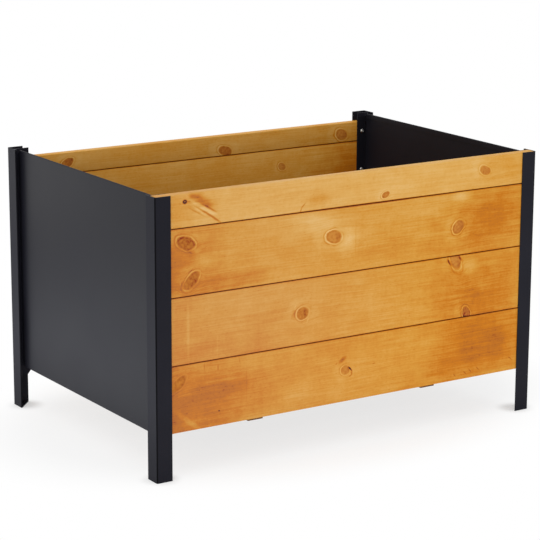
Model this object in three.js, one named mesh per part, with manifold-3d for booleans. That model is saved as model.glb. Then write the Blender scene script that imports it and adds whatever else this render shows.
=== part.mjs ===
// A raised planter: four folded steel corner posts, two sheet steel end panels, walls of tongued and
// grooved boards that slide into the posts, and a slatted floor on the ledges of the end panels.
// Millimetres, +Z up. The origin is on the ground, under the middle of the planter.
// +X runs along the board walls, and the front board wall faces -Y.
import * as THREE from "three";
import { mergeVertices } from "three/addons/utils/BufferGeometryUtils.js";
import Module from "manifold-3d";

// Overall size
const WIDTH = 800;
const DEPTH = 540;
const HEIGHT = 490;

// Corner posts, each folded from one strip of sheet steel
const POST_SHEET = 1.5;
const POST_FACE = 30; // outer flange, seen on the board walls
const POST_HEM = 10.5; // width of the hem, from the inner flange to the edge of the post's side
const HEM_GAP = 0.5; // space left inside a hem
const BEND_RADIUS = 1; // inside of a bend
const LIP_OVERHANG = 1; // inner flange, past the flange of the end panel
const LIP_BOTTOM = 79; // lower end of the inner flange of a front post
const LIP_CHAMFER_WIDTH = 11;
const LIP_CHAMFER_HEIGHT = 14;
const FOOT_SHEET = 2; // thickness of the triangular foot plate

// Wall boards
const BOARD_THICKNESS = 18;
const BOARD_FACE = 117; // height that one full board covers
const BOARD_SEAM = 1.6; // gap between two boards
const BOARD_EASING = 0.6; // bevel along the long edges
const BOARDS_BOTTOM = 82; // lower edge of the lowest board
const REAR_DROP = 18; // top of the rear wall below that of the front, and its inner flanges with it
const NARROWEST_BOARD = 25; // least height of a top board, which is ripped to fit
const TONGUE_THICKNESS = 5;
const TONGUE_HEIGHT = 6;
const TONGUE_CLEARANCE = 0.4;
const SLOT_CLEARANCE = 0.25; // each side of a board in its post
const BOARD_END_CLEARANCE = 0.5; // board end to the bend of the post

// End panels
const PANEL_SHEET = 1.2;
const PANEL_GAP = 7.5; // hem of the post to the outer face of the panel
const PANEL_DROP = 2; // top edge, below the tops of the posts
const PANEL_BOTTOM = 77;
const PANEL_FLANGE = 20; // upright flange against the inner flange of the post
const PANEL_LEDGE = 25; // ledge that carries the floor
const PANEL_HEM = 10;
const CORNER_RELIEF = 5; // notch where two bends of the panel meet

// Floor
const SLAT_COUNT = 5;
const SLAT_THICKNESS = 18;
const SLAT_GAP = 8;
const FLOOR_CLEARANCE = 0.3; // slats to the bends of the end panels
const BATTEN_WIDTH = 30;
const BATTEN_THICKNESS = 9;
const BATTEN_SPACING = 372;
const BATTEN_CLEARANCE = 10; // batten end to the wall boards

// Screws
const SCREW_SHANK = 4;
const SCREW_RIM = 2.2; // head, past the shank all round
const SCREW_RIM_HEIGHT = 0.9; // straight edge of the head, below its dome
const SCREW_DOME_HEIGHT = 1.7;
const SCREW_POINT = 3.5;
const SCREW_COVER = 5; // wood left beyond the point of a wall screw
const FLOOR_SCREW_SHANK = 3.5;
const FLOOR_SCREW_FLARE = 1.75; // sunk head, past the shank all round and down its taper
const FLOOR_SCREW_COVER = 2; // wood left beyond the point of a floor screw
const DRIVE_WALL = 0.4; // shank past the drive recess all round
const DRIVE_LOBES = 6;
const DRIVE_LOBE = 0.45; // height of a lobe of the drive recess
const DRIVE_DEPTH = 1.4;
const HOLE_CLEARANCE = 0.5; // round a shank in sheet steel
const PILOT_CLEARANCE = 0.3; // round a shank in wood, and under a sunk head

// Facets, how far a cutter runs past what it cuts, and how near two points are one
const BEND_STEPS = 4;
const DOME_STEPS = 3;
const ROUND_SIDES = 16;
const OVERRUN = 1;
const SAME_POINT = 1e-4;

// Places that follow from the sizes.
// Depths run inwards from the outer face of a board wall, and insets from the end of the planter.
const boardFront = POST_SHEET + SLOT_CLEARANCE;
const boardBack = boardFront + BOARD_THICKNESS;
const lipFront = boardBack + SLOT_CLEARANCE;
const lipBack = lipFront + POST_SHEET;
const postSide = lipBack + POST_HEM;
const flangeBack = lipBack + PANEL_SHEET;
const panelInset = 2 * POST_SHEET + HEM_GAP + PANEL_GAP;
const flangeInset = panelInset + PANEL_FLANGE;
const lipInset = flangeInset + LIP_OVERHANG;
const screwInset = panelInset + PANEL_FLANGE / 2;
const panelTop = HEIGHT - PANEL_DROP;
const rearTop = HEIGHT - REAR_DROP;
const rearLipBottom = LIP_BOTTOM - REAR_DROP;
const ledgeTop = PANEL_BOTTOM + PANEL_SHEET;
const slatTop = ledgeTop + SLAT_THICKNESS;

const wasm = await Module();
wasm.setup();

const powderCoat = () => new THREE.MeshStandardMaterial({ color: 0x2b2c2e, roughness: 0.5, metalness: 0.2 });
const stainedWood = () => new THREE.MeshStandardMaterial({ color: 0xb9803f, roughness: 0.6, metalness: 0 });
const plainWood = () => new THREE.MeshStandardMaterial({ color: 0x8a6238, roughness: 0.75, metalness: 0 });
const zincSteel = () => new THREE.MeshStandardMaterial({ color: 0x9a9a98, roughness: 0.35, metalness: 0.9 });

// Closed geometry as a solid that can be cut and joined
function solid(geometry) {
  const bare = geometry.clone();
  bare.deleteAttribute("normal");
  bare.deleteAttribute("uv");
  const merged = mergeVertices(bare, SAME_POINT);
  return new wasm.Manifold(
    new wasm.Mesh({
      numProp: 3,
      vertProperties: merged.attributes.position.array,
      triVerts: new Uint32Array(merged.index.array),
    }),
  );
}

// A solid back as geometry
function geometryOf(body) {
  const mesh = body.getMesh();
  const geometry = new THREE.BufferGeometry();
  geometry.setAttribute("position", new THREE.BufferAttribute(new Float32Array(mesh.vertProperties), 3));
  geometry.setIndex(new THREE.BufferAttribute(new Uint32Array(mesh.triVerts), 1));
  geometry.computeVertexNormals();
  return geometry;
}

function named(name, geometry, material) {
  const mesh = new THREE.Mesh(geometry, material);
  mesh.name = name;
  return mesh;
}

// A prism along an axis, between two places on it, with its outline drawn on the other two axes:
// (y, z) for a prism along X, (z, x) along Y and (x, y) along Z.
const X = new THREE.Vector3(1, 0, 0);
const Y = new THREE.Vector3(0, 1, 0);
const Z = new THREE.Vector3(0, 0, 1);
const BASIS = { x: [Y, Z, X], y: [Z, X, Y], z: [X, Y, Z] };

function prism(outline, axis, from, to) {
  const shape = new THREE.Shape(outline.map(([a, b]) => new THREE.Vector2(a, b)));
  const geometry = new THREE.ExtrudeGeometry(shape, { depth: to - from, bevelEnabled: false });
  geometry.translate(0, 0, from);
  return geometry.applyMatrix4(new THREE.Matrix4().makeBasis(...BASIS[axis]));
}

// A turned solid along Z from a profile of (radius, z) that starts and ends on the axis
function turned(profile) {
  const points = profile.map(([radius, z]) => new THREE.Vector2(radius, z));
  return new THREE.LatheGeometry(points, ROUND_SIDES).rotateX(Math.PI / 2);
}

// Outline of a sheet folded at right angles. The corners are those of the sheet's middle line.
// Each is rounded to the bend radius, or to half of a short leg between two bends.
function foldedOutline(corners, sheet) {
  const line = corners.map(([a, b]) => new THREE.Vector2(a, b));
  const last = line.length - 1;
  const legs = line.slice(1).map((point, i) => point.clone().sub(line[i]));
  const ways = legs.map((leg) => leg.clone().normalize());
  const across = (way) => new THREE.Vector2(-way.y, way.x);
  const left = [];
  const right = [];
  const put = (point, normal) => {
    left.push(point.clone().addScaledVector(normal, sheet / 2).toArray());
    right.push(point.clone().addScaledVector(normal, -sheet / 2).toArray());
  };
  put(line[0], across(ways[0]));
  for (let i = 1; i < last; i++) {
    const turn = Math.sign(ways[i - 1].cross(ways[i]));
    const roomBefore = legs[i - 1].length() / (i > 1 ? 2 : 1);
    const roomAfter = legs[i].length() / (i < last - 1 ? 2 : 1);
    const radius = Math.min(BEND_RADIUS + sheet / 2, roomBefore, roomAfter);
    const normal = across(ways[i - 1]);
    const centre = line[i].clone().addScaledVector(ways[i - 1], -radius).addScaledVector(normal, turn * radius);
    for (let step = 0; step <= BEND_STEPS; step++) {
      const angle = (turn * Math.PI * step) / (2 * BEND_STEPS);
      const spoke = normal.clone().rotateAround(new THREE.Vector2(), angle);
      put(centre.clone().addScaledVector(spoke, -turn * radius), spoke);
    }
  }
  put(line[last], across(ways[last - 1]));
  return [...left, ...right.reverse()];
}

// A round cutter along Y through a place (x, z)
function drill(x, z, diameter, from, to) {
  const geometry = new THREE.CylinderGeometry(diameter / 2, diameter / 2, to - from, ROUND_SIDES);
  return solid(geometry.translate(x, (from + to) / 2, z));
}

// A screw along Z, point down, with a six-lobed recess in the top of its head
function screwGeometry(profile, top, shank) {
  const lobes = Array.from({ length: 2 * DRIVE_LOBES }, (_, i) => {
    const radius = shank / 2 - DRIVE_WALL - (i % 2 ? DRIVE_LOBE : 0);
    const angle = (i * Math.PI) / DRIVE_LOBES;
    return [radius * Math.cos(angle), radius * Math.sin(angle)];
  });
  const recess = prism(lobes, "z", top - DRIVE_DEPTH, top + OVERRUN);
  return geometryOf(solid(turned(profile)).subtract(solid(recess)));
}

// Wall screw: a domed head whose seat is at z = 0
const wallScrewReach = PANEL_SHEET + POST_SHEET + SLOT_CLEARANCE + BOARD_THICKNESS - SCREW_COVER;
const wallScrewHead = SCREW_SHANK / 2 + SCREW_RIM;
const wallScrewDome = Array.from({ length: DOME_STEPS }, (_, i) => {
  const angle = (i * Math.PI) / (2 * DOME_STEPS);
  return [wallScrewHead * Math.cos(angle), SCREW_RIM_HEIGHT + SCREW_DOME_HEIGHT * Math.sin(angle)];
});
const wallScrew = screwGeometry(
  [
    [0, -wallScrewReach],
    [SCREW_SHANK / 2, SCREW_POINT - wallScrewReach],
    [SCREW_SHANK / 2, 0],
    [wallScrewHead, 0],
    ...wallScrewDome,
    [0, SCREW_RIM_HEIGHT + SCREW_DOME_HEIGHT],
  ],
  SCREW_RIM_HEIGHT + SCREW_DOME_HEIGHT,
  SCREW_SHANK,
);

// Floor screw: a sunk head whose top is at z = 0
const floorScrewReach = SLAT_THICKNESS + BATTEN_THICKNESS - FLOOR_SCREW_COVER;
const floorScrewHead = FLOOR_SCREW_SHANK / 2 + FLOOR_SCREW_FLARE;
const floorScrew = screwGeometry(
  [
    [0, -floorScrewReach],
    [FLOOR_SCREW_SHANK / 2, SCREW_POINT - floorScrewReach],
    [FLOOR_SCREW_SHANK / 2, -FLOOR_SCREW_FLARE],
    [floorScrewHead, 0],
    [0, 0],
  ],
  0,
  FLOOR_SCREW_SHANK,
);

// Courses of boards in a wall, from the ground up. The top board takes the height that is left.
const courseCount = Math.ceil((rearTop - BOARDS_BOTTOM - NARROWEST_BOARD) / BOARD_FACE);

function wallCourses(wallTop) {
  return Array.from({ length: courseCount }, (_, i) => {
    const lowest = i === 0;
    const topmost = i === courseCount - 1;
    const bottom = BOARDS_BOTTOM + i * BOARD_FACE + (lowest ? 0 : BOARD_SEAM / 2);
    const top = topmost ? wallTop : BOARDS_BOTTOM + (i + 1) * BOARD_FACE - BOARD_SEAM / 2;
    return { number: i + 1, lowest, topmost, bottom, top };
  });
}

// The same screw heights serve every post: the middles of the boards of the lower wall
const screwHeights = wallCourses(rearTop).map((course) => (course.bottom + course.top) / 2);

// Corner post, in a frame at the outer corner of the planter with both axes running inwards
function postGeometry(lipBottom) {
  const middle = POST_SHEET / 2;
  const hemMiddle = POST_SHEET + HEM_GAP + middle;
  const section = foldedOutline(
    [
      [POST_FACE, middle],
      [middle, middle],
      [middle, postSide - middle],
      [hemMiddle, postSide - middle],
      [hemMiddle, lipFront + middle],
      [lipInset, lipFront + middle],
    ],
    POST_SHEET,
  );
  const legCut = [
    [-OVERRUN, POST_SHEET],
    [lipBottom, POST_SHEET],
    [lipBottom, lipInset - LIP_CHAMFER_WIDTH],
    [lipBottom + LIP_CHAMFER_HEIGHT, lipInset],
    [lipBottom + LIP_CHAMFER_HEIGHT, lipInset + OVERRUN],
    [-OVERRUN, lipInset + OVERRUN],
  ];
  let post = solid(prism(section, "z", 0, HEIGHT));
  post = post.subtract(solid(prism(legCut, "y", boardBack, postSide + OVERRUN)));
  for (const height of screwHeights) {
    const hole = SCREW_SHANK + 2 * HOLE_CLEARANCE;
    post = post.subtract(drill(screwInset, height, hole, boardBack, lipBack + OVERRUN));
  }
  return geometryOf(post);
}

// Triangular plate welded into the foot of a post, clear of the bend
function footPlateGeometry() {
  const clear = POST_SHEET + 2 * BEND_RADIUS;
  const outline = [
    [clear, POST_SHEET],
    [POST_FACE, POST_SHEET],
    [POST_SHEET, postSide],
    [POST_SHEET, clear],
  ];
  return prism(outline, "z", 0, FOOT_SHEET);
}

// One corner: the post, its foot plate and the screws that hold post, panel and boards together
function corner(name, sideX, sideY, lipBottom) {
  const group = new THREE.Group();
  group.position.set((sideX * WIDTH) / 2, (sideY * DEPTH) / 2, 0);
  group.scale.set(-sideX, -sideY, 1);
  group.add(named("post_" + name, postGeometry(lipBottom), powderCoat()));
  group.add(named("foot_plate_" + name, footPlateGeometry(), powderCoat()));
  screwHeights.forEach((height, i) => {
    const screw = named("wall_screw_" + name + "_" + (i + 1), wallScrew, zincSteel());
    screw.position.set(screwInset, flangeBack, height);
    screw.rotation.x = -Math.PI / 2;
    group.add(screw);
  });
  return group;
}

// Wall board: bevelled edges, a tongue unless it is the top board, a groove unless it is the lowest
function boardGeometry(course) {
  const middle = (boardFront + boardBack) / 2;
  const tongueHalf = TONGUE_THICKNESS / 2;
  const tongueTop = course.top + TONGUE_HEIGHT;
  const grooveHalf = tongueHalf + TONGUE_CLEARANCE;
  const grooveTop = course.bottom - BOARD_SEAM + TONGUE_HEIGHT + TONGUE_CLEARANCE;
  const groove = [
    [middle - grooveHalf, course.bottom],
    [middle - grooveHalf, grooveTop],
    [middle + grooveHalf, grooveTop],
    [middle + grooveHalf, course.bottom],
  ];
  const tongue = [
    [middle + tongueHalf, course.top],
    [middle + tongueHalf, tongueTop],
    [middle - tongueHalf, tongueTop],
    [middle - tongueHalf, course.top],
  ];
  const outline = [
    [boardFront, course.bottom + BOARD_EASING],
    [boardFront + BOARD_EASING, course.bottom],
    ...(course.lowest ? [] : groove),
    [boardBack - BOARD_EASING, course.bottom],
    [boardBack, course.bottom + BOARD_EASING],
    [boardBack, course.top - BOARD_EASING],
    [boardBack - BOARD_EASING, course.top],
    ...(course.topmost ? [] : tongue),
    [boardFront + BOARD_EASING, course.top],
    [boardFront, course.top - BOARD_EASING],
  ];
  const reach = WIDTH / 2 - POST_SHEET - BEND_RADIUS - BOARD_END_CLEARANCE;
  let board = solid(prism(outline, "x", -reach, reach));
  for (const side of [-1, 1]) {
    const x = side * (WIDTH / 2 - screwInset);
    const pilot = SCREW_SHANK + 2 * PILOT_CLEARANCE;
    const end = boardFront + SCREW_COVER - PILOT_CLEARANCE;
    board = board.subtract(drill(x, screwHeights[course.number - 1], pilot, end, boardBack + OVERRUN));
  }
  return geometryOf(board);
}

function boardWall(name, top, turn) {
  const group = new THREE.Group();
  group.rotation.z = turn;
  for (const course of wallCourses(top)) {
    const board = named(name + "_board_" + course.number, boardGeometry(course), stainedWood());
    board.position.y = -DEPTH / 2;
    group.add(board);
  }
  return group;
}

// End panel, in a frame at the end of the planter and the middle of its depth, with X running inwards.
// One fold gives the two upright flanges, and the other the ledge below and the hem above.
function panelGeometry() {
  const middle = panelInset + PANEL_SHEET / 2;
  const hemMiddle = middle + PANEL_SHEET + HEM_GAP;
  const flangeMiddle = DEPTH / 2 - lipBack - PANEL_SHEET / 2;
  const upright = foldedOutline(
    [
      [flangeInset, -flangeMiddle],
      [middle, -flangeMiddle],
      [middle, flangeMiddle],
      [flangeInset, flangeMiddle],
    ],
    PANEL_SHEET,
  );
  const level = foldedOutline(
    [
      [PANEL_BOTTOM + PANEL_SHEET / 2, panelInset + PANEL_LEDGE],
      [PANEL_BOTTOM + PANEL_SHEET / 2, middle],
      [panelTop - PANEL_SHEET / 2, middle],
      [panelTop - PANEL_SHEET / 2, hemMiddle],
      [panelTop - PANEL_HEM, hemMiddle],
    ],
    PANEL_SHEET,
  );
  const reach = DEPTH / 2 - lipBack - CORNER_RELIEF;
  let panel = solid(prism(upright, "z", PANEL_BOTTOM + CORNER_RELIEF, panelTop - CORNER_RELIEF));
  panel = panel.add(solid(prism(level, "y", -reach, reach)));
  for (const height of screwHeights) {
    const hole = SCREW_SHANK + 2 * HOLE_CLEARANCE;
    panel = panel.subtract(drill(screwInset, height, hole, -DEPTH / 2, DEPTH / 2));
  }
  return geometryOf(panel);
}

function endPanel(name, turn) {
  const group = new THREE.Group();
  group.rotation.z = turn;
  const panel = named("end_panel_" + name, panelGeometry(), powderCoat());
  panel.position.x = -WIDTH / 2;
  group.add(panel);
  return group;
}

// Floor: slats on the ledges, tied together by two battens underneath
const slatReach = WIDTH / 2 - panelInset - PANEL_SHEET - BEND_RADIUS - FLOOR_CLEARANCE;
const floorReach = DEPTH / 2 - flangeBack - BEND_RADIUS - FLOOR_CLEARANCE;
const slatWidth = (2 * floorReach - (SLAT_COUNT - 1) * SLAT_GAP) / SLAT_COUNT;
const slatMiddle = (i) => -floorReach + slatWidth / 2 + i * (slatWidth + SLAT_GAP);
const slatMiddles = Array.from({ length: SLAT_COUNT }, (_, i) => slatMiddle(i));
const battens = { left: -BATTEN_SPACING / 2, right: BATTEN_SPACING / 2 };

// A cutter for a sunk screw that stands at (x, y) with its head flush with the slats
function floorScrewHole(x, y) {
  const shank = FLOOR_SCREW_SHANK / 2 + PILOT_CLEARANCE;
  const head = floorScrewHead + PILOT_CLEARANCE;
  const bottom = -floorScrewReach - PILOT_CLEARANCE;
  const profile = [
    [0, bottom],
    [shank, bottom],
    [shank, -FLOOR_SCREW_FLARE - PILOT_CLEARANCE],
    [head, -PILOT_CLEARANCE],
    [head, OVERRUN],
    [0, OVERRUN],
  ];
  return solid(turned(profile).translate(x, y, slatTop));
}

function slatGeometry(y) {
  const half = slatWidth / 2;
  const outline = [
    [y - half, ledgeTop],
    [y + half, ledgeTop],
    [y + half, slatTop - BOARD_EASING],
    [y + half - BOARD_EASING, slatTop],
    [y - half + BOARD_EASING, slatTop],
    [y - half, slatTop - BOARD_EASING],
  ];
  let slat = solid(prism(outline, "x", -slatReach, slatReach));
  for (const x of Object.values(battens)) slat = slat.subtract(floorScrewHole(x, y));
  return geometryOf(slat);
}

function battenGeometry(x) {
  const half = BATTEN_WIDTH / 2;
  const reach = DEPTH / 2 - boardBack - BATTEN_CLEARANCE;
  const outline = [
    [ledgeTop - BATTEN_THICKNESS, x - half],
    [ledgeTop - BATTEN_THICKNESS, x + half],
    [ledgeTop, x + half],
    [ledgeTop, x - half],
  ];
  let batten = solid(prism(outline, "y", -reach, reach));
  for (const y of slatMiddles) batten = batten.subtract(floorScrewHole(x, y));
  return geometryOf(batten);
}

function slattedFloor() {
  const group = new THREE.Group();
  slatMiddles.forEach((y, i) => group.add(named("floor_slat_" + (i + 1), slatGeometry(y), plainWood())));
  for (const [side, x] of Object.entries(battens)) {
    group.add(named("floor_batten_" + side, battenGeometry(x), plainWood()));
    slatMiddles.forEach((y, i) => {
      const screw = named("floor_screw_" + side + "_" + (i + 1), floorScrew, zincSteel());
      screw.position.set(x, y, slatTop);
      group.add(screw);
    });
  }
  return group;
}

const planter = new THREE.Group();
planter.name = "raised_planter";
planter.add(corner("front_left", -1, -1, LIP_BOTTOM));
planter.add(corner("front_right", 1, -1, LIP_BOTTOM));
planter.add(corner("rear_left", -1, 1, rearLipBottom));
planter.add(corner("rear_right", 1, 1, rearLipBottom));
planter.add(endPanel("left", 0));
planter.add(endPanel("right", Math.PI));
planter.add(boardWall("front", HEIGHT, 0));
planter.add(boardWall("rear", rearTop, Math.PI));
planter.add(slattedFloor());

export default planter;
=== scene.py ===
# The planter as it was packed: steel, boards and screws at their real size and place, in metres.
# It stands free on four feet, and nothing on it moves, so every piece rides on the one body.
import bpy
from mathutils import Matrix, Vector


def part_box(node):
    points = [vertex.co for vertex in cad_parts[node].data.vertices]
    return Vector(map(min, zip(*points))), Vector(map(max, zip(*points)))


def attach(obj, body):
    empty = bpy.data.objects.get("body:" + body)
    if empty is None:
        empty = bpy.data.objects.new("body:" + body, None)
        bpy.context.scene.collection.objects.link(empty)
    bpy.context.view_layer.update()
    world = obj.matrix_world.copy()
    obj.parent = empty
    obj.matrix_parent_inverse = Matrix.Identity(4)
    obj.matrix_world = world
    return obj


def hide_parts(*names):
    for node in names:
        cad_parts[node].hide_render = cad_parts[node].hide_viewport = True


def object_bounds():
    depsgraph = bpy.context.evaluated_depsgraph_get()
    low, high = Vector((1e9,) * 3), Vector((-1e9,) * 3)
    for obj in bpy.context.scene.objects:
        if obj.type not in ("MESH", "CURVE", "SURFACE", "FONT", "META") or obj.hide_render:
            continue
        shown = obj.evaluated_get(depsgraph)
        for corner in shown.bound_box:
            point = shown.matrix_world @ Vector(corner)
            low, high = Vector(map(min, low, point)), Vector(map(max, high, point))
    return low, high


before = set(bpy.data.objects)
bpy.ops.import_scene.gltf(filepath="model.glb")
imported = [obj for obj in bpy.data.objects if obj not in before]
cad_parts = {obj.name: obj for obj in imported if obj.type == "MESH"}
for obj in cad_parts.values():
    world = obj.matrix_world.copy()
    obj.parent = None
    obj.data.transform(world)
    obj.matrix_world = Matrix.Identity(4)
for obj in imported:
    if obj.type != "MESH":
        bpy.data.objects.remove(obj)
cad_box = [list(corner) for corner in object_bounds()]
import math
import random

import bmesh
import bpy
from mathutils import Matrix, Vector


# Corner posts and foot plates: strips of 1.5 mm sheet steel folded into slotted posts, each with a small
# plate welded into its foot. Posts and plates are powder coated together, matt black, and the wall screws
# hold each post to the end panel and to the boards in its slot.
MM = 0.001
CORNERS = ["front_left", "front_right", "rear_left", "rear_right"]


class Wire:
    """An output in a material's node tree. Sums on it add Math nodes, and node() adds any other node."""

    def __init__(self, tree, socket=None):
        self.tree = tree
        self.socket = socket

    def feed(self, sockets, values):
        for name, value in values.items():
            if isinstance(value, Wire):
                self.tree.links.new(value.socket, sockets[name])
            else:
                sockets[name].default_value = value

    def node(self, kind, settings, inputs, output=0):
        made = self.tree.nodes.new(kind)
        for name, value in settings.items():
            if name == "stops":
                for place, _ in value[2:]:
                    made.color_ramp.elements.new(place)
                for element, (place, colour) in zip(made.color_ramp.elements, value):
                    element.position = place
                    element.color = (*colour, 1)
            else:
                setattr(made, name, value)
        self.feed(made.inputs, inputs)
        return Wire(self.tree, made.outputs[output])

    def maths(self, operation, first, second=0.0):
        return self.node("ShaderNodeMath", {"operation": operation}, {0: first, 1: second})

    def __add__(self, other):
        return self.maths("ADD", self, other)

    __radd__ = __add__

    def __sub__(self, other):
        return self.maths("SUBTRACT", self, other)

    def __rsub__(self, other):
        return self.maths("SUBTRACT", other, self)

    def __mul__(self, other):
        return self.maths("MULTIPLY", self, other)

    __rmul__ = __mul__

    def __truediv__(self, other):
        return self.maths("DIVIDE", self, other)

    def rise(self, low, high):
        """0 below low and 1 above high, with a smooth slope between."""
        ends = {"Value": self, "From Min": low, "From Max": high}
        return self.node("ShaderNodeMapRange", {"interpolation_type": "SMOOTHSTEP"}, ends)

    def axes(self, output):
        """X, Y and Z of the surface's place (Object, in metres) or of the way it faces (Normal)."""
        point = self.node("ShaderNodeTexCoord", {}, {}, output)
        split = self.node("ShaderNodeSeparateXYZ", {}, {0: point}).socket.node
        return [Wire(self.tree, end) for end in split.outputs]

    def noise(self, x, y, z, detail=2.0):
        """Smooth noise about 0, with one swell for each unit of x, y and z."""
        at = self.node("ShaderNodeCombineXYZ", {}, {0: x, 1: y, 2: z})
        return self.node("ShaderNodeTexNoise", {}, {"Vector": at, "Scale": 1.0, "Detail": detail}) - 0.5

    def spots(self, place, size, detail=2.0):
        """Smooth noise about 0 whose swells are as long as they are wide, size metres across."""
        x, y, z = place
        return self.noise(x / size, y / size, z / size, detail)

    def mix(self, first, second, share):
        """A colour between two, by a share from 0 to 1."""
        return self.node("ShaderNodeMix", {"data_type": "RGBA"}, {0: share, 6: first, 7: second}, 2)

    def bump(self, height, depth):
        """The surface's normal over a height of 0 to 1 that is that many metres deep."""
        return self.node("ShaderNodeBump", {}, {"Strength": 1.0, "Distance": depth, "Height": height})


def finish(name, recipe):
    """A material from a recipe, which gives the inputs of its shader."""
    made = bpy.data.materials.new(name)
    made.use_nodes = True
    wire = Wire(made.node_tree)
    wire.feed(made.node_tree.nodes["Principled BSDF"].inputs, recipe(wire))
    return made


def dress(node, material):
    """Gives a CAD node a material."""
    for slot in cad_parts[node].material_slots:
        slot.material = material


# The posts' coat is lighter and less glossy than the panels': partly a coat of its own, partly painted
# light.
POST_DARK = (0.0098, 0.0098, 0.0143, 1)
POST_LIGHT = (0.0180, 0.0178, 0.0251, 1)
POST_GLOSS = 0.055
# The colour of a painted dark reflection in the bends of the sheet.
PAINTED_BEND_REFLECTION = (0.0010, 0.0010, 0.0014, 1)
COAT_SPECKLE = 0.7 * MM
COAT_PEEL = 3.5 * MM
COAT_CLOUD = 110 * MM
COAT_RELIEF = 0.05 * MM
COAT_ROUGHNESS = 0.44
CLOUD_ROUGHNESS = 0.12
SPECKLE_ROUGHNESS = 0.10
BEND_REFLECTION_SHARE = (0.08, 0.4)


def powder_coat(dark, light, gloss):
    """A matt coat with a fine speckle and peel, and a painted dark reflection where the sheet is bent."""

    def recipe(wire):
        place = wire.axes("Object")
        face_x, face_y, _ = wire.axes("Normal")
        speckle = wire.spots(place, COAT_SPECKLE)
        peel = wire.spots(place, COAT_PEEL)
        clouds = wire.spots(place, COAT_CLOUD, detail=3.0)
        # Where the coat's normal turns between X and Y, in the bends, it gets a painted dark reflection.
        bend_reflection = wire.maths("ABSOLUTE", face_x * face_y).rise(*BEND_REFLECTION_SHARE)
        colour = wire.mix(dark, light, 0.5 + clouds + speckle * 0.5)
        return {
            "Base Color": wire.mix(colour, PAINTED_BEND_REFLECTION, bend_reflection),
            "Roughness": COAT_ROUGHNESS + clouds * CLOUD_ROUGHNESS + speckle * SPECKLE_ROUGHNESS,
            "Specular IOR Level": gloss,
            "Normal": wire.bump(0.5 + speckle * 0.6 + peel * 0.4, COAT_RELIEF),
        }

    return recipe


post_coat = finish("post_coat", powder_coat(POST_DARK, POST_LIGHT, POST_GLOSS))
for corner in CORNERS:
    dress("post_" + corner, post_coat)
    dress("foot_plate_" + corner, post_coat)


# End panels: one sheet of 1.2 mm steel each, folded to flanges, a ledge and a hem. Their coat is darker and
# glossier than that of the posts, and their flanges lie behind the inner flanges of the posts.
SIDES = ["left", "right"]
PANEL_DARK = (0.0063, 0.0063, 0.0092, 1)
PANEL_LIGHT = (0.0116, 0.0115, 0.0162, 1)
PANEL_GLOSS = 0.11
panel_coat = finish("panel_coat", powder_coat(PANEL_DARK, PANEL_LIGHT, PANEL_GLOSS))
for side in SIDES:
    dress("end_panel_" + side, panel_coat)


# Wall boards: planed softwood, tongued and grooved, with eased arrises and a honey coloured stain.
# Their ends stand in the slots of the posts, and the top board of each wall is ripped to fit.
COURSES = [1, 2, 3, 4]
UPRIGHT = (0, 2, 1)
TONGUE_HEIGHT = 6 * MM
TONGUE_THICKNESS = 5 * MM
TONGUE_CLEARANCE = 0.4 * MM
BOARD_SEAM = 1.6 * MM
ARRIS = 0.6 * MM
ARRIS_STEPS = 3
SHARP = math.radians(40)


def prism(outline, start, end):
    """A piece of constant section along X, from its outline of (y, z)."""
    mesh = bmesh.new()
    face = mesh.faces.new([mesh.verts.new((start, y, z)) for y, z in outline])
    grown = bmesh.ops.extrude_face_region(mesh, geom=[face])["geom"]
    moved = [item for item in grown if isinstance(item, bmesh.types.BMVert)]
    bmesh.ops.translate(mesh, vec=(end - start, 0, 0), verts=moved)
    bmesh.ops.recalc_face_normals(mesh, faces=mesh.faces)
    return mesh


def ease(mesh, corners, radius):
    """Rounds the long edges that stand at the given corners (y, z) of the section."""
    edges = []
    for edge in mesh.edges:
        first, second = (vertex.co for vertex in edge.verts)
        along = abs(first.x - second.x) > radius
        if along and any((Vector((y, z)) - first.yz).length < radius / 10 for y, z in corners):
            edges.append(edge)
    bmesh.ops.bevel(mesh, geom=edges, offset=radius, offset_type="OFFSET", segments=ARRIS_STEPS,
                    profile=0.5, affect="EDGES", material=-1)


def piece(name, mesh, material, slot, *replaced):
    """Turns a bmesh into a piece of the planter that stands for CAD nodes."""
    data = bpy.data.meshes.new(name)
    mesh.to_mesh(data)
    mesh.free()
    data.shade_smooth()
    data.set_sharp_from_angle(angle=SHARP)
    data.materials.append(material)
    made = bpy.data.objects.new(name, data)
    bpy.context.scene.collection.objects.link(made)
    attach(made, "root")
    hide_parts(*replaced)


PALE = (0.775, 0.500, 0.190)
HONEY = (0.705, 0.390, 0.096)
AMBER = (0.642, 0.296, 0.038)
ORANGE = (0.560, 0.180, 0.007)
RUSSET = (0.448, 0.138, 0.012)
BROWN = (0.260, 0.026, 0.006)
UMBER = (0.020, 0.008, 0.005)
STAIN = [(0.0, PALE), (0.25, HONEY), (0.45, AMBER), (0.65, ORANGE), (0.8, RUSSET),
         (0.92, BROWN), (1.0, UMBER)]
HEART = [(0.5, (0.570, 0.232, 0.036)), (0.65, (0.495, 0.172, 0.022)), (0.8, (0.400, 0.117, 0.015)),
         (0.92, BROWN), (1.0, UMBER)]

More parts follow.
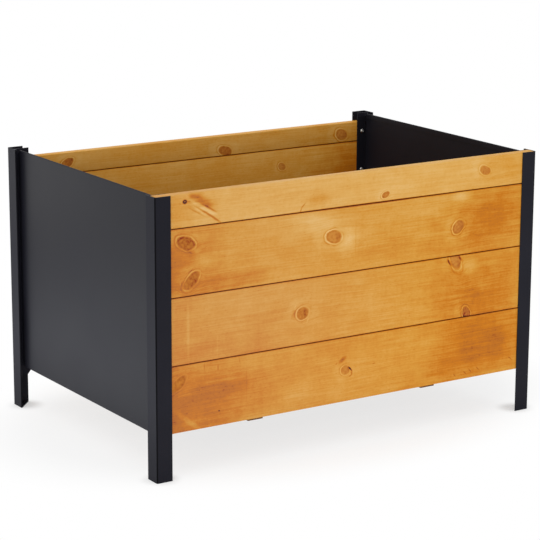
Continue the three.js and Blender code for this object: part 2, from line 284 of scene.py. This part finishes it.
# Swells in the wood, each with its length along the grain and its width across it in mm. Their depths, like
# all shades of the wood, are shares of the ramp from the palest stain at 0 to the darkest at 1.
SWING = (450, 110)
BLOTCH = (16, 16)
PATCH = (31, 27)
MOTTLE = (5, 4.5)
STREAK = (150, 6)
BROAD_TONE = (190, 75)
NEAR_TONE = (48, 34)
FINE_LINE = (80, 2.0)
BAND = (260, 7)
FLECK = (6, 1.8)
CHATTER = (7, 120)
SWING_WIDTH = 11 * MM
BROAD_DEPTH = 0.26
NEAR_DEPTH = 0.24
BAND_DEPTH = 0.10
LINE_DEPTH = 0.30
FLECK_DEPTH = 0.15
FLECK_SHARE = (0.08, 0.26)
CHATTER_DEPTH = 0.06
MOTTLE_DEPTH = 0.14
WOOD_ROUGHNESS = 0.56
LINE_ROUGHNESS = 0.2
BAND_ROUGHNESS = 0.1
WOOD_GLOSS = 0.1
WOOD_RELIEF = 0.12 * MM

# Clouds, knots and marks have edges that swells make ragged. A cloud fades from its middle, and a mark from
# a fifth of its half size.
CLOUD_FADE = (0.0, 1.0)
CLOUD_PATCH = 0.5
CLOUD_STREAK = 0.6
DEEPEST_CLOUD = 0.76
KNOT_BLOTCH = 0.5
MARK_FADE = (0.2, 1.0)
MARK_BLOTCH = 0.3

# Seams are painted dark inside, a painted shade in the joint, and the arrises beside them take up a little
# more stain.
JOINT_PAINTED_SHADE = 0.87
JOINT_FADE = (7 * MM, 8 * MM)
JOINT_INSET = 1.0 * MM
ARRIS_DEPTH = 0.15
ARRIS_FADE = (0.6 * MM, 2.0 * MM)

# A painted pale sheen, a painted reflection, lies over the left half of some boards.
PAINTED_SHEEN = (0.42, 0.23, 0.25, 1)
PAINTED_SHEEN_END = (-0.25, 0.20)

# A knot from its middle outwards: how many half widths out, and how much deeper or paler its rings are.
# Its heart is a shade deeper to the right by HEART_LEAN, and its rings are clearer to the left.
KNOT_REACH = 3.0
KNOT_RINGS = [(0.0, -0.10), (0.2, -0.03), (0.4, 0.02), (0.6, -0.04), (0.8, 0.03), (0.94, 0.14),
              (1.04, -0.02), (1.14, -0.22), (1.25, -0.02), (1.36, 0.14), (1.48, -0.02), (1.8, -0.06),
              (2.4, -0.04), (3.0, 0.0)]
HEART_EDGE = (0.76, 1.1)
HEART_LEAN = 0.18
HEART_MOTTLE = 0.4
LEAN_REACH = 1.3
RING_LEFT = 1.3
RING_LEAN = 0.9
RING_BREAKS = 3.5
RING_LEAST = 0.1


def reach(face, at, size, tilt):
    """How far a point of a board's face lies from the middle of an ellipse: 1 on its edge."""
    turned = face.node("ShaderNodeMapping", {"vector_type": "TEXTURE"}, {
        "Vector": face,
        "Location": (at[0] * MM, at[1] * MM, 0),
        "Rotation": (0, 0, math.radians(tilt)),
        "Scale": (size[0] * MM, size[1] * MM, 1),
    })
    return face.node("ShaderNodeVectorMath", {"operation": "LENGTH"}, {0: turned}, "Value")


def softwood(seed, stops, heart_stops, lie, tone,
             clouds=(), knots=(), marks=(), joints=(), faces=(0, 0), painted_sheen=0.0):
    """Planed softwood. lie gives the axes along the grain, across it and through the board."""
    rings = [(place / KNOT_REACH, (0.5 + depth,) * 3) for place, depth in KNOT_RINGS]

    def recipe(wire):
        place = wire.axes("Object")
        along, across, through = (place[axis] for axis in lie)

        def swells(size, detail=2.0, line=across):
            length, width = size[0] * MM, size[1] * MM
            return wire.noise(along / length + seed, through / width, line / width, detail)

        def inside(at, size, tilt, ragged, fade):
            """1 in the middle of an ellipse, fading to 0 at its ragged edge."""
            return 1 - (reach(face, at, size, tilt) + ragged).rise(*fade)

        face = wire.node("ShaderNodeCombineXYZ", {}, {0: along, 1: across})
        blotch = swells(BLOTCH)
        patch = swells(PATCH)
        mottle = swells(MOTTLE)
        streak = swells(STREAK)
        fibre = across + swells(SWING) * SWING_WIDTH
        shade = tone + swells(BROAD_TONE, detail=3.0) * BROAD_DEPTH + swells(NEAR_TONE) * NEAR_DEPTH
        ragged = patch * CLOUD_PATCH + streak * CLOUD_STREAK
        for at, size, tilt, strength in clouds:
            shade = shade + inside(at, size, tilt, ragged, CLOUD_FADE) * strength
        shade = wire.maths("MINIMUM", shade, DEEPEST_CLOUD)
        hearts = 0.0
        for at, size, tilt, heart, clear in knots:
            out = reach(face, at, size, tilt) * (1 + blotch * KNOT_BLOTCH)
            fibre = fibre - (across - at[1] * MM) / wire.maths("MAXIMUM", out * out, 1.0)
            ring = wire.node("ShaderNodeValToRGB", {"stops": rings}, {"Fac": out / KNOT_REACH}) - 0.5
            core = 1 - out.rise(*HEART_EDGE)
            hearts = wire.maths("MAXIMUM", hearts, core)
            lean = (along - at[0] * MM).rise(-LEAN_REACH * size[0] * MM, LEAN_REACH * size[0] * MM)
            wanted = heart - HEART_LEAN / 2 + lean * HEART_LEAN + mottle * HEART_MOTTLE
            shade = shade + (wanted - shade) * core
            crisp = wire.maths("MAXIMUM", RING_LEFT - lean * RING_LEAN + patch * RING_BREAKS, RING_LEAST)
            shade = shade + ring * clear * crisp
        for at, size, tilt, strength in marks:
            shade = shade + inside(at, size, tilt, blotch * MARK_BLOTCH, MARK_FADE) * strength
        lines = swells(FINE_LINE, line=fibre)
        bands = swells(BAND, line=fibre)
        fleck = swells(FLECK, line=fibre).rise(*FLECK_SHARE)
        chatter = wire.noise(along / (CHATTER[0] * MM) + seed, seed, across / (CHATTER[1] * MM))
        shade = shade + bands * BAND_DEPTH + lines * LINE_DEPTH + fleck * FLECK_DEPTH
        shade = shade + chatter * CHATTER_DEPTH + mottle * MOTTLE_DEPTH
        behind = (through - faces[0]).rise(0.0, JOINT_INSET)
        before = (faces[1] - through).rise(0.0, JOINT_INSET)
        for joint in joints:
            away = wire.maths("ABSOLUTE", across - joint)
            shade = shade + (1 - away.rise(*ARRIS_FADE)) * ARRIS_DEPTH
            # Faces inside a joint get painted shade.
            shade = shade + (JOINT_PAINTED_SHADE - shade) * (behind * before) * (1 - away.rise(*JOINT_FADE))
        stained = wire.node("ShaderNodeValToRGB", {"stops": stops}, {"Fac": shade})
        knotty = wire.node("ShaderNodeValToRGB", {"stops": heart_stops}, {"Fac": shade})
        # The left ends get a painted pale sheen, except on the knots' hearts.
        sheen_share = (1 - along.rise(*PAINTED_SHEEN_END)) * (1 - hearts) * painted_sheen
        return {
            "Base Color": wire.mix(wire.mix(stained, knotty, hearts), PAINTED_SHEEN, sheen_share),
            "Roughness": WOOD_ROUGHNESS + lines * LINE_ROUGHNESS + bands * BAND_ROUGHNESS,
            "Specular IOR Level": WOOD_GLOSS,
            "Normal": wire.bump(0.5 + lines * 0.7 + bands * 0.4, WOOD_RELIEF),
        }

    return recipe


def wall_board(wall, course, seed, look):
    """A board with the tongue, the groove and the stain of its course."""
    node = f"{wall}_board_{course}"
    tongue = course < COURSES[-1]
    groove = course > COURSES[0]
    low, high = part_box(node)
    middle = (low.y + high.y) / 2
    face_top = high.z - (TONGUE_HEIGHT if tongue else 0)
    half = TONGUE_THICKNESS / 2
    room = half + TONGUE_CLEARANCE
    groove_top = low.z - BOARD_SEAM + TONGUE_HEIGHT + TONGUE_CLEARANCE
    groove_line = [(middle - room, low.z), (middle - room, groove_top),
                   (middle + room, groove_top), (middle + room, low.z)]
    tongue_line = [(middle + half, face_top), (middle + half, high.z),
                   (middle - half, high.z), (middle - half, face_top)]
    arrises = [(low.y, low.z), (high.y, low.z), (high.y, face_top), (low.y, face_top)]
    outline = [
        arrises[0],
        *(groove_line if groove else []),
        arrises[1],
        arrises[2],
        *(tongue_line if tongue else []),
        arrises[3],
    ]
    mesh = prism(outline, low.x, high.x)
    ease(mesh, arrises, ARRIS)
    joints = ([low.z] if groove else []) + ([face_top] if tongue else [])
    recipe = softwood(seed, STAIN, HEART, UPRIGHT, **look, joints=joints, faces=(low.y, high.y))
    piece(node + "_stained", mesh, finish("stained_" + node, recipe), "stained_wood", node)


# Front boards: four lengths of that softwood, from the ground up, that stand in the front posts. Clouds in
# the stain, knots, and marks such as checks and scratches each have a place (x, z) and half sizes in mm, a
# tilt in degrees and a shade. A knot also says how clear its rings are.
FRONT_LOOKS = {
    1: {
        "tone": 0.465,
        "painted_sheen": 0.08,
        "clouds": [((262, 148), (155, 110), 0, 0.24), ((330, 140), (120, 110), 0, 0.08),
                   ((-380, 130), (260, 110), 0, 0.32), ((-250, 150), (150, 24), 6, 0.12),
                   ((-110, 115), (60, 36), 0, -0.08), ((0, 120), (170, 50), 0, -0.04)],
        "knots": [((-357, 167), (19, 9), 38, 0.74, 0.35), ((-16.5, 139), (9.5, 8.5), 0, 0.63, 0.6)],
        "marks": [((-370, 96), (44, 26), -38, 0.08), ((-336, 98), (60, 7), -40, -0.13),
                  ((-306, 190), (1.6, 9), 0, 0.16), ((-279, 184), (2.2, 8), 0, 0.2),
                  ((-236, 190), (2, 10), 12, 0.1), ((-222, 150), (1.6, 46), 0, 0.06),
                  ((-6.2, 140.2), (9.5, 2.4), -50, 0.66), ((-3, 132), (2.8, 5.5), 0, 0.36),
                  ((-6, 127.5), (4.5, 2), 25, 0.3), ((-23.5, 158.6), (13, 6.2), 34, 0.32),
                  ((-36, 153.6), (4.5, 2.4), 35, 0.2), ((45, 142), (4.5, 2), 10, 0.2),
                  ((226, 92), (7, 1.6), -50, 0.26), ((250, 93), (7, 1.6), -45, 0.26),
                  ((262, 95), (7, 1.6), -50, 0.22), ((279, 97), (7, 1.6), -45, 0.26),
                  ((355, 105), (9, 1.6), -38, 0.26), ((-277, 108), (2.6, 2.4), 0, 0.34),
                  ((60, 130), (40, 2), 4, 0.1), ((-349, 173), (8, 6), 38, -0.12)],
    },
    2: {
        "tone": 0.45,
        "painted_sheen": 0.12,
        "clouds": [((270, 214), (140, 90), 0, 0.2), ((340, 250), (160, 120), 0, 0.08),
                   ((-330, 212), (220, 44), 0, 0.07), ((-120, 288), (220, 56), 0, -0.09),
                   ((200, 275), (120, 80), 0, 0.11), ((256, 292), (26, 24), 0, -0.18),
                   ((-85, 240), (46, 30), 50, -0.06)],
        "knots": [((-108, 256), (12, 11), 0, 0.69, 1.0), ((222, 310), (21, 11.5), -69, 0.6, 1.0),
                  ((250, 205), (13, 9), -65, 0.82, 1.6)],
        "marks": [((-354, 258), (16, 80), 0, 0.05), ((-337, 258), (4, 70), 0, -0.1),
                  ((-280, 222), (2.4, 30), 0, -0.06), ((208.5, 305), (13, 3.4), -54, 0.34),
                  ((233.5, 309), (8.5, 3.6), -52, 0.3), ((248, 200), (3.2, 2.6), 0, 0.1),
                  ((-104, 255), (4.4, 6.5), 0, 0.14), ((-125, 256), (6, 10), 0, 0.16),
                  ((-123, 269), (5.5, 1.4), 52, -0.14), ((-97.5, 240.6), (7.5, 1.8), 67, -0.18),
                  ((-130, 252), (3, 6), 0, 0.12), ((-110, 262), (9, 5), 0, -0.05)],
    },
    3: {
        "tone": 0.41,
        "painted_sheen": 0.07,
        "clouds": [((290, 385), (160, 110), 0, 0.24), ((305, 365), (60, 50), 0, 0.06),
                   ((-380, 370), (170, 110), 0, 0.34), ((-250, 332), (160, 30), 2, 0.14),
                   ((120, 345), (140, 44), 0, 0.08), ((-80, 410), (76, 36), -14, -0.24),
                   ((-180, 405), (120, 44), 0, -0.1), ((-14, 372), (36, 30), 50, -0.25),
                   ((-304, 372), (34, 22), 0, -0.2), ((233, 424), (34, 16), 0, -0.3)],
        "knots": [((-340, 407), (17, 11), -25, 0.77, 1.0), ((-330, 342), (18, 10), 45, 0.79, 1.0),
                  ((-43, 382), (16, 11), -8, 0.56, 1.3), ((227, 369), (14, 10), 40, 0.67, 1.2)],
        "marks": [((2, 375), (2, 44), 0, 0.08), ((-349, 416), (13, 2.6), 30, 0.12),
                  # The long thin mark at z 432.4 along the top edge is painted shade, darkening the seam
                  # above.
                  ((20, 432.4), (340, 2.2), 0, 0.3), ((-43, 382), (4.5, 3.5), 0, -0.14),
                  ((-63, 386.5), (6, 1.4), 47, -0.18), ((-53, 371), (12, 1.4), -41, -0.14),
                  ((-334, 391), (9, 2.4), -27, 0.14), ((-320, 392), (12, 6), 0, -0.16),
                  ((-330, 359.5), (8, 1.5), 45, 0.2), ((-352, 339.5), (1.3, 5), 0, -0.2),
                  ((-331, 402.5), (9, 8), 0, -0.16), ((-341, 414), (13, 5), -25, 0.06),
                  ((-322, 347), (8, 10), 45, -0.08), ((222, 375), (7, 6), 0, -0.09),
                  ((234, 363), (8, 6), 0, 0.09)],
    },
    4: {
        "tone": 0.235,
        "painted_sheen": 0.06,
        "clouds": [((-372, 465), (110, 60), 0, 0.19), ((360, 460), (190, 60), 0, 0.17),
                   ((-309, 474), (36, 16), -34, 0.42), ((-80, 452), (40, 17), 0, 0.14),
                   ((-250, 465), (140, 40), 0, 0.08), ((140, 460), (90, 40), 0, 0.05)],
        "knots": [((285, 466), (12.5, 8), -22, 0.61, 0.6), ((65, 445), (8.5, 5), 20, 0.64, 1.0)],
        "marks": [((-342, 477), (6.4, 5.4), 0, 0.9), ((-342, 477), (2.4, 2), 0, -0.6),
                  ((-324, 484), (16, 5), -10, 0.2), ((-306, 462.5), (38, 6), -31, -0.34),
                  ((-296, 450.5), (34, 2.8), -33, 0.46), ((-280, 438.5), (13, 2.8), -30, 0.26),
                  ((-319.5, 457), (27, 2.2), -30, 0.22), ((-317, 460.5), (24, 2.2), -35, -0.12),
                  ((-293.7, 460.4), (23, 2.8), -30, 0.34), ((-334, 476.5), (5, 1.8), 0, 0.24),
                  ((-107.5, 445), (9, 2), 43, 0.36), ((-113, 437), (5, 2), 60, 0.36),
                  # The long thin mark at z 433.6 along the bottom edge is painted shade, darkening the seam
                  # below.
                  ((20, 433.6), (340, 2.2), 0, 0.3), ((60, 441.5), (3.5, 2.5), 0, 0.12)],
    },
}
FRONT_SEED = 7.3
for course in COURSES:
    wall_board("front", course, course * FRONT_SEED, FRONT_LOOKS[course])


# Rear boards: the same softwood as in front, each board with its own knots. They stand in the rear posts.
# The rear wall stops a little below the tops of the posts, so its top board is ripped narrower.
REAR_KNOTS = 3
REAR_SEED = 11.7
REAR_SEED_START = 40
KNOT_PLACE = (0.2, 0.8)
KNOT_WIDTH = (6, 15)
KNOT_NARROWING = (0.6, 0.9)
KNOT_TILT = (-45, 45)
KNOT_SHADE = (0.58, 0.80)
KNOT_CLEAR = 1.0
END_CLOUD_LENGTH = (120, 240)
END_CLOUD_HEIGHT = (60, 110)
END_CLOUD_DEPTH = (0.1, 0.35)
REAR_TONE = (0.36, 0.46)
DRAW_SEED = 5


def chance_knots(draw, low, high, across, count):
    """Knots at places drawn at random on a board, spread along it."""
    knots = []
    pitch = (high.x - low.x) / count
    for number in range(count):
        x = low.x + pitch * (number + draw.uniform(*KNOT_PLACE))
        middle = low[across] + (high[across] - low[across]) * draw.uniform(*KNOT_PLACE)
        width = draw.uniform(*KNOT_WIDTH)
        size = (width, width * draw.uniform(*KNOT_NARROWING))
        tilt = draw.uniform(*KNOT_TILT)
        shade = draw.uniform(*KNOT_SHADE)
        knots.append(((x / MM, middle / MM), size, tilt, shade, KNOT_CLEAR))
    return knots


draw = random.Random(DRAW_SEED)
for course in COURSES:
    low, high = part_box(f"rear_board_{course}")
    knots = chance_knots(draw, low, high, 2, REAR_KNOTS)
    middle = (low.z + high.z) / 2 / MM
    clouds = []
    for end in [low.x / MM, high.x / MM]:
        size = (draw.uniform(*END_CLOUD_LENGTH), draw.uniform(*END_CLOUD_HEIGHT))
        clouds.append(((end, middle), size, 0, draw.uniform(*END_CLOUD_DEPTH)))
    look = {"tone": draw.uniform(*REAR_TONE), "clouds": clouds, "knots": knots}
    wall_board("rear", course, course * REAR_SEED + REAR_SEED_START, look)


# Floor: slats that lie loose on the ledges of the end panels, and two battens screwed across under them.
# They are the same softwood, oiled brown and not stained. The battens are darker, with painted shade for
# where they lie under the floor.
SLATS = range(1, 6)
SLAT_KNOTS = 2
SLAT_TONE = 0.42
SLAT_SEED = 5.1
BATTEN_PAINTED_SHADE = 1.0
BATTEN_SEED = 3.7
BATTEN_SEED_START = 60
OIL = [(0.0, (0.42, 0.25, 0.105)), (0.45, (0.32, 0.17, 0.062)), (0.75, (0.20, 0.095, 0.034)),
       (1.0, (0.050, 0.011, 0.003))]
FLAT = (0, 1, 2)
CROSSWISE = (1, 0, 2)
for number in SLATS:
    node = f"floor_slat_{number}"
    knots = chance_knots(draw, *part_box(node), 1, SLAT_KNOTS)
    recipe = softwood(number * SLAT_SEED, OIL, OIL, FLAT, SLAT_TONE, knots=knots)
    dress(node, finish("oiled_" + node, recipe))
for number, side in enumerate(SIDES):
    node = "floor_batten_" + side
    recipe = softwood(number * BATTEN_SEED + BATTEN_SEED_START, OIL, OIL, CROSSWISE, BATTEN_PAINTED_SHADE)
    dress(node, finish("oiled_" + node, recipe))


# Screws: zinc plated steel with a six-lobed recess. Those in the walls have domed heads and hold panel,
# post and board together from inside, and those in the floor are sunk flush with the slats.
ZINC_BLUE = (0.55, 0.57, 0.60, 1)
ZINC_YELLOW = (0.62, 0.58, 0.47, 1)
ZINC_FILM = 6 * MM
ZINC_GRAIN = 0.4 * MM
ZINC_RELIEF = 0.02 * MM
ZINC_ROUGHNESS = 0.34
FILM_ROUGHNESS = 0.15
GRAIN_ROUGHNESS = 0.1
FILM_MIDDLE = 0.4


def zinc(wire):
    """Bright plating with a film that shades from blue to yellow."""
    place = wire.axes("Object")
    film = wire.spots(place, ZINC_FILM)
    grain = wire.spots(place, ZINC_GRAIN, detail=1.0)
    return {
        "Base Color": wire.mix(ZINC_BLUE, ZINC_YELLOW, FILM_MIDDLE + film),
        "Metallic": 1.0,
        "Roughness": ZINC_ROUGHNESS + film * FILM_ROUGHNESS + grain * GRAIN_ROUGHNESS,
        "Normal": wire.bump(0.5 + grain, ZINC_RELIEF),
    }


plating = finish("zinc", zinc)
for corner in CORNERS:
    for course in COURSES:
        dress(f"wall_screw_{corner}_{course}", plating)
for side in SIDES:
    for number in SLATS:
        dress(f"floor_screw_{side}_{number}", plating)


# The studio: a wide pale floor and a white surround, which both show as white. Under the planter the floor
# mixes white with its own shaded colour, so that a part of the shadow stays, and more of it round the feet.
# The white takes over between the two distances of FLOOR_FADE, in half sizes of the planter.
FLOOR_REACH = 9.0
FLOOR_COLOUR = (0.96, 0.96, 0.96, 1)
FLOOR_WHITE = 0.75
FLOOR_FADE = (1.1, 1.65)
FOOT_FADE = (0.012, 0.042)
FOOT_SHADE = 0.5
WHITE = (1, 1, 1, 1)
SKY_LIGHT = 0.8
surround = bpy.data.worlds.new("surround")
surround.use_nodes = True
bpy.context.scene.world = surround
sky = Wire(surround.node_tree)


def shown(wire):
    """1 for rays that show the background as it is, to the eye or in metal and glass."""
    seen = wire.node("ShaderNodeLightPath", {}, {}, "Is Camera Ray")
    for kind in ["Is Glossy Ray", "Is Transmission Ray"]:
        seen = wire.maths("MAXIMUM", seen, wire.node("ShaderNodeLightPath", {}, {}, kind))
    return seen


backdrop = surround.node_tree.nodes["Background"].inputs
sky.feed(backdrop, {"Color": WHITE, "Strength": SKY_LIGHT + shown(sky) * (1 - SKY_LIGHT)})

mesh = bmesh.new()
bmesh.ops.create_grid(mesh, x_segments=1, y_segments=1, size=FLOOR_REACH)
data = bpy.data.meshes.new("studio_floor")
mesh.to_mesh(data)
mesh.free()
floor = bpy.data.objects.new("studio_floor", data)
bpy.context.scene.collection.objects.link(floor)
paper = bpy.data.materials.new("pale_floor")
paper.use_nodes = True
wire = Wire(paper.node_tree)


def distance(x, y):
    """How far a point of the floor lies from where x and y are 0."""
    return wire.maths("SQRT", x * x + y * y)


x, y, _ = (wire.maths("ABSOLUTE", axis) for axis in wire.axes("Object"))
low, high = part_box("foot_plate_rear_right")
foot = (low + high) / 2
near = 1 - distance(x - foot.x, y - foot.y).rise(*FOOT_FADE)
spread = distance(x / cad_box[1][0], y / cad_box[1][1]).rise(*FLOOR_FADE)
white = (FLOOR_WHITE + spread * (1 - FLOOR_WHITE)) * (1 - near * FOOT_SHADE)
matt = wire.node("ShaderNodeBsdfDiffuse", {}, {"Color": FLOOR_COLOUR})
glow = wire.node("ShaderNodeEmission", {}, {"Color": WHITE, "Strength": 1.0})
mixed = wire.node("ShaderNodeMixShader", {}, {0: shown(wire) * white, 1: matt, 2: glow})
wire.feed(paper.node_tree.nodes["Material Output"].inputs, {"Surface": mixed})
data.materials.append(paper)


# Lamps: a broad soft key from the left, in front and above, and two bright cards that lie on the floor
# beside the planter and light the foot of the end panel and of the front more than the top. A small lamp
# at the rear left puts a soft sheen on the rear of the end panel.
PLANTER_MIDDLE = (0, 0, 0.25)
KEY_PLACE = (-2.1, -1.2, 2.0)
KEY_STRENGTH = 0.88
KEY_SPREAD = math.radians(60)
CARD_LIFT = 0.005
LEFT_CARD = {"x": -0.78, "y": 0.32, "width": 0.54, "depth": 1.2, "energy": 2.5, "colour": (0.84, 0.88, 1.0)}
FRONT_CARD = {"x": 0.1, "y": -0.62, "width": 1.6, "depth": 0.6, "energy": 1.1, "colour": (1.0, 1.0, 1.0)}
SHEEN_PLACE = (-0.67, 0.79, 0.36)
SHEEN_TARGET = (-0.4, 0.22, 0.45)
SHEEN_ENERGY = 0.2
SHEEN_SIZE = 0.25


def lamp(name, kind, place, target, energy):
    """A lamp that the camera doesn't see, turned to a target."""
    light = bpy.data.lights.new(name, kind)
    light.energy = energy
    made = bpy.data.objects.new(name, light)
    made.location = place
    made.rotation_euler = (Vector(target) - Vector(place)).to_track_quat("-Z", "Y").to_euler()
    made.visible_camera = False
    bpy.context.scene.collection.objects.link(made)
    return light


def card(name, x, y, width, depth, energy, colour):
    """A bright sheet just above the floor that shines upwards."""
    light = lamp(name, "AREA", (x, y, CARD_LIFT), (x, y, 1), energy)
    light.color = colour
    light.shape = "RECTANGLE"
    light.size = width
    light.size_y = depth


key = lamp("key", "SUN", KEY_PLACE, PLANTER_MIDDLE, KEY_STRENGTH)
key.angle = KEY_SPREAD
card("left_card", **LEFT_CARD)
card("front_card", **FRONT_CARD)
sheen = lamp("rear_lamp", "AREA", SHEEN_PLACE, SHEEN_TARGET, SHEEN_ENERGY)
sheen.size = SHEEN_SIZE


# The camera stands in front and to the left, a little above the planter, with a long lens. It looks to the
# right of straight back, dips a little, and rolls by a fraction of a degree.
CAMERA_PLACE = (-2.089, -3.222, 1.190)
CAMERA_TURN = math.radians(32.94)
CAMERA_DIP = math.radians(13.57)
CAMERA_ROLL = math.radians(0.22)
CAMERA_LENS = 142.3
CAMERA_SENSOR = 36
lens = bpy.data.cameras.new("camera")
lens.sensor_width = CAMERA_SENSOR
lens.lens = CAMERA_LENS
camera = bpy.data.objects.new("camera", lens)
camera.location = CAMERA_PLACE
ahead = Vector((math.sin(CAMERA_TURN) * math.cos(CAMERA_DIP),
                math.cos(CAMERA_TURN) * math.cos(CAMERA_DIP),
                -math.sin(CAMERA_DIP)))
level = Vector((math.cos(CAMERA_TURN), -math.sin(CAMERA_TURN), 0))
upright = level.cross(ahead)
aim = Matrix((level, upright, -ahead)).transposed()
camera.rotation_euler = (aim @ Matrix.Rotation(CAMERA_ROLL, 3, "Z")).to_euler()
bpy.context.scene.collection.objects.link(camera)
bpy.context.scene.camera = camera
bpy.context.scene.view_settings.view_transform = "Standard"
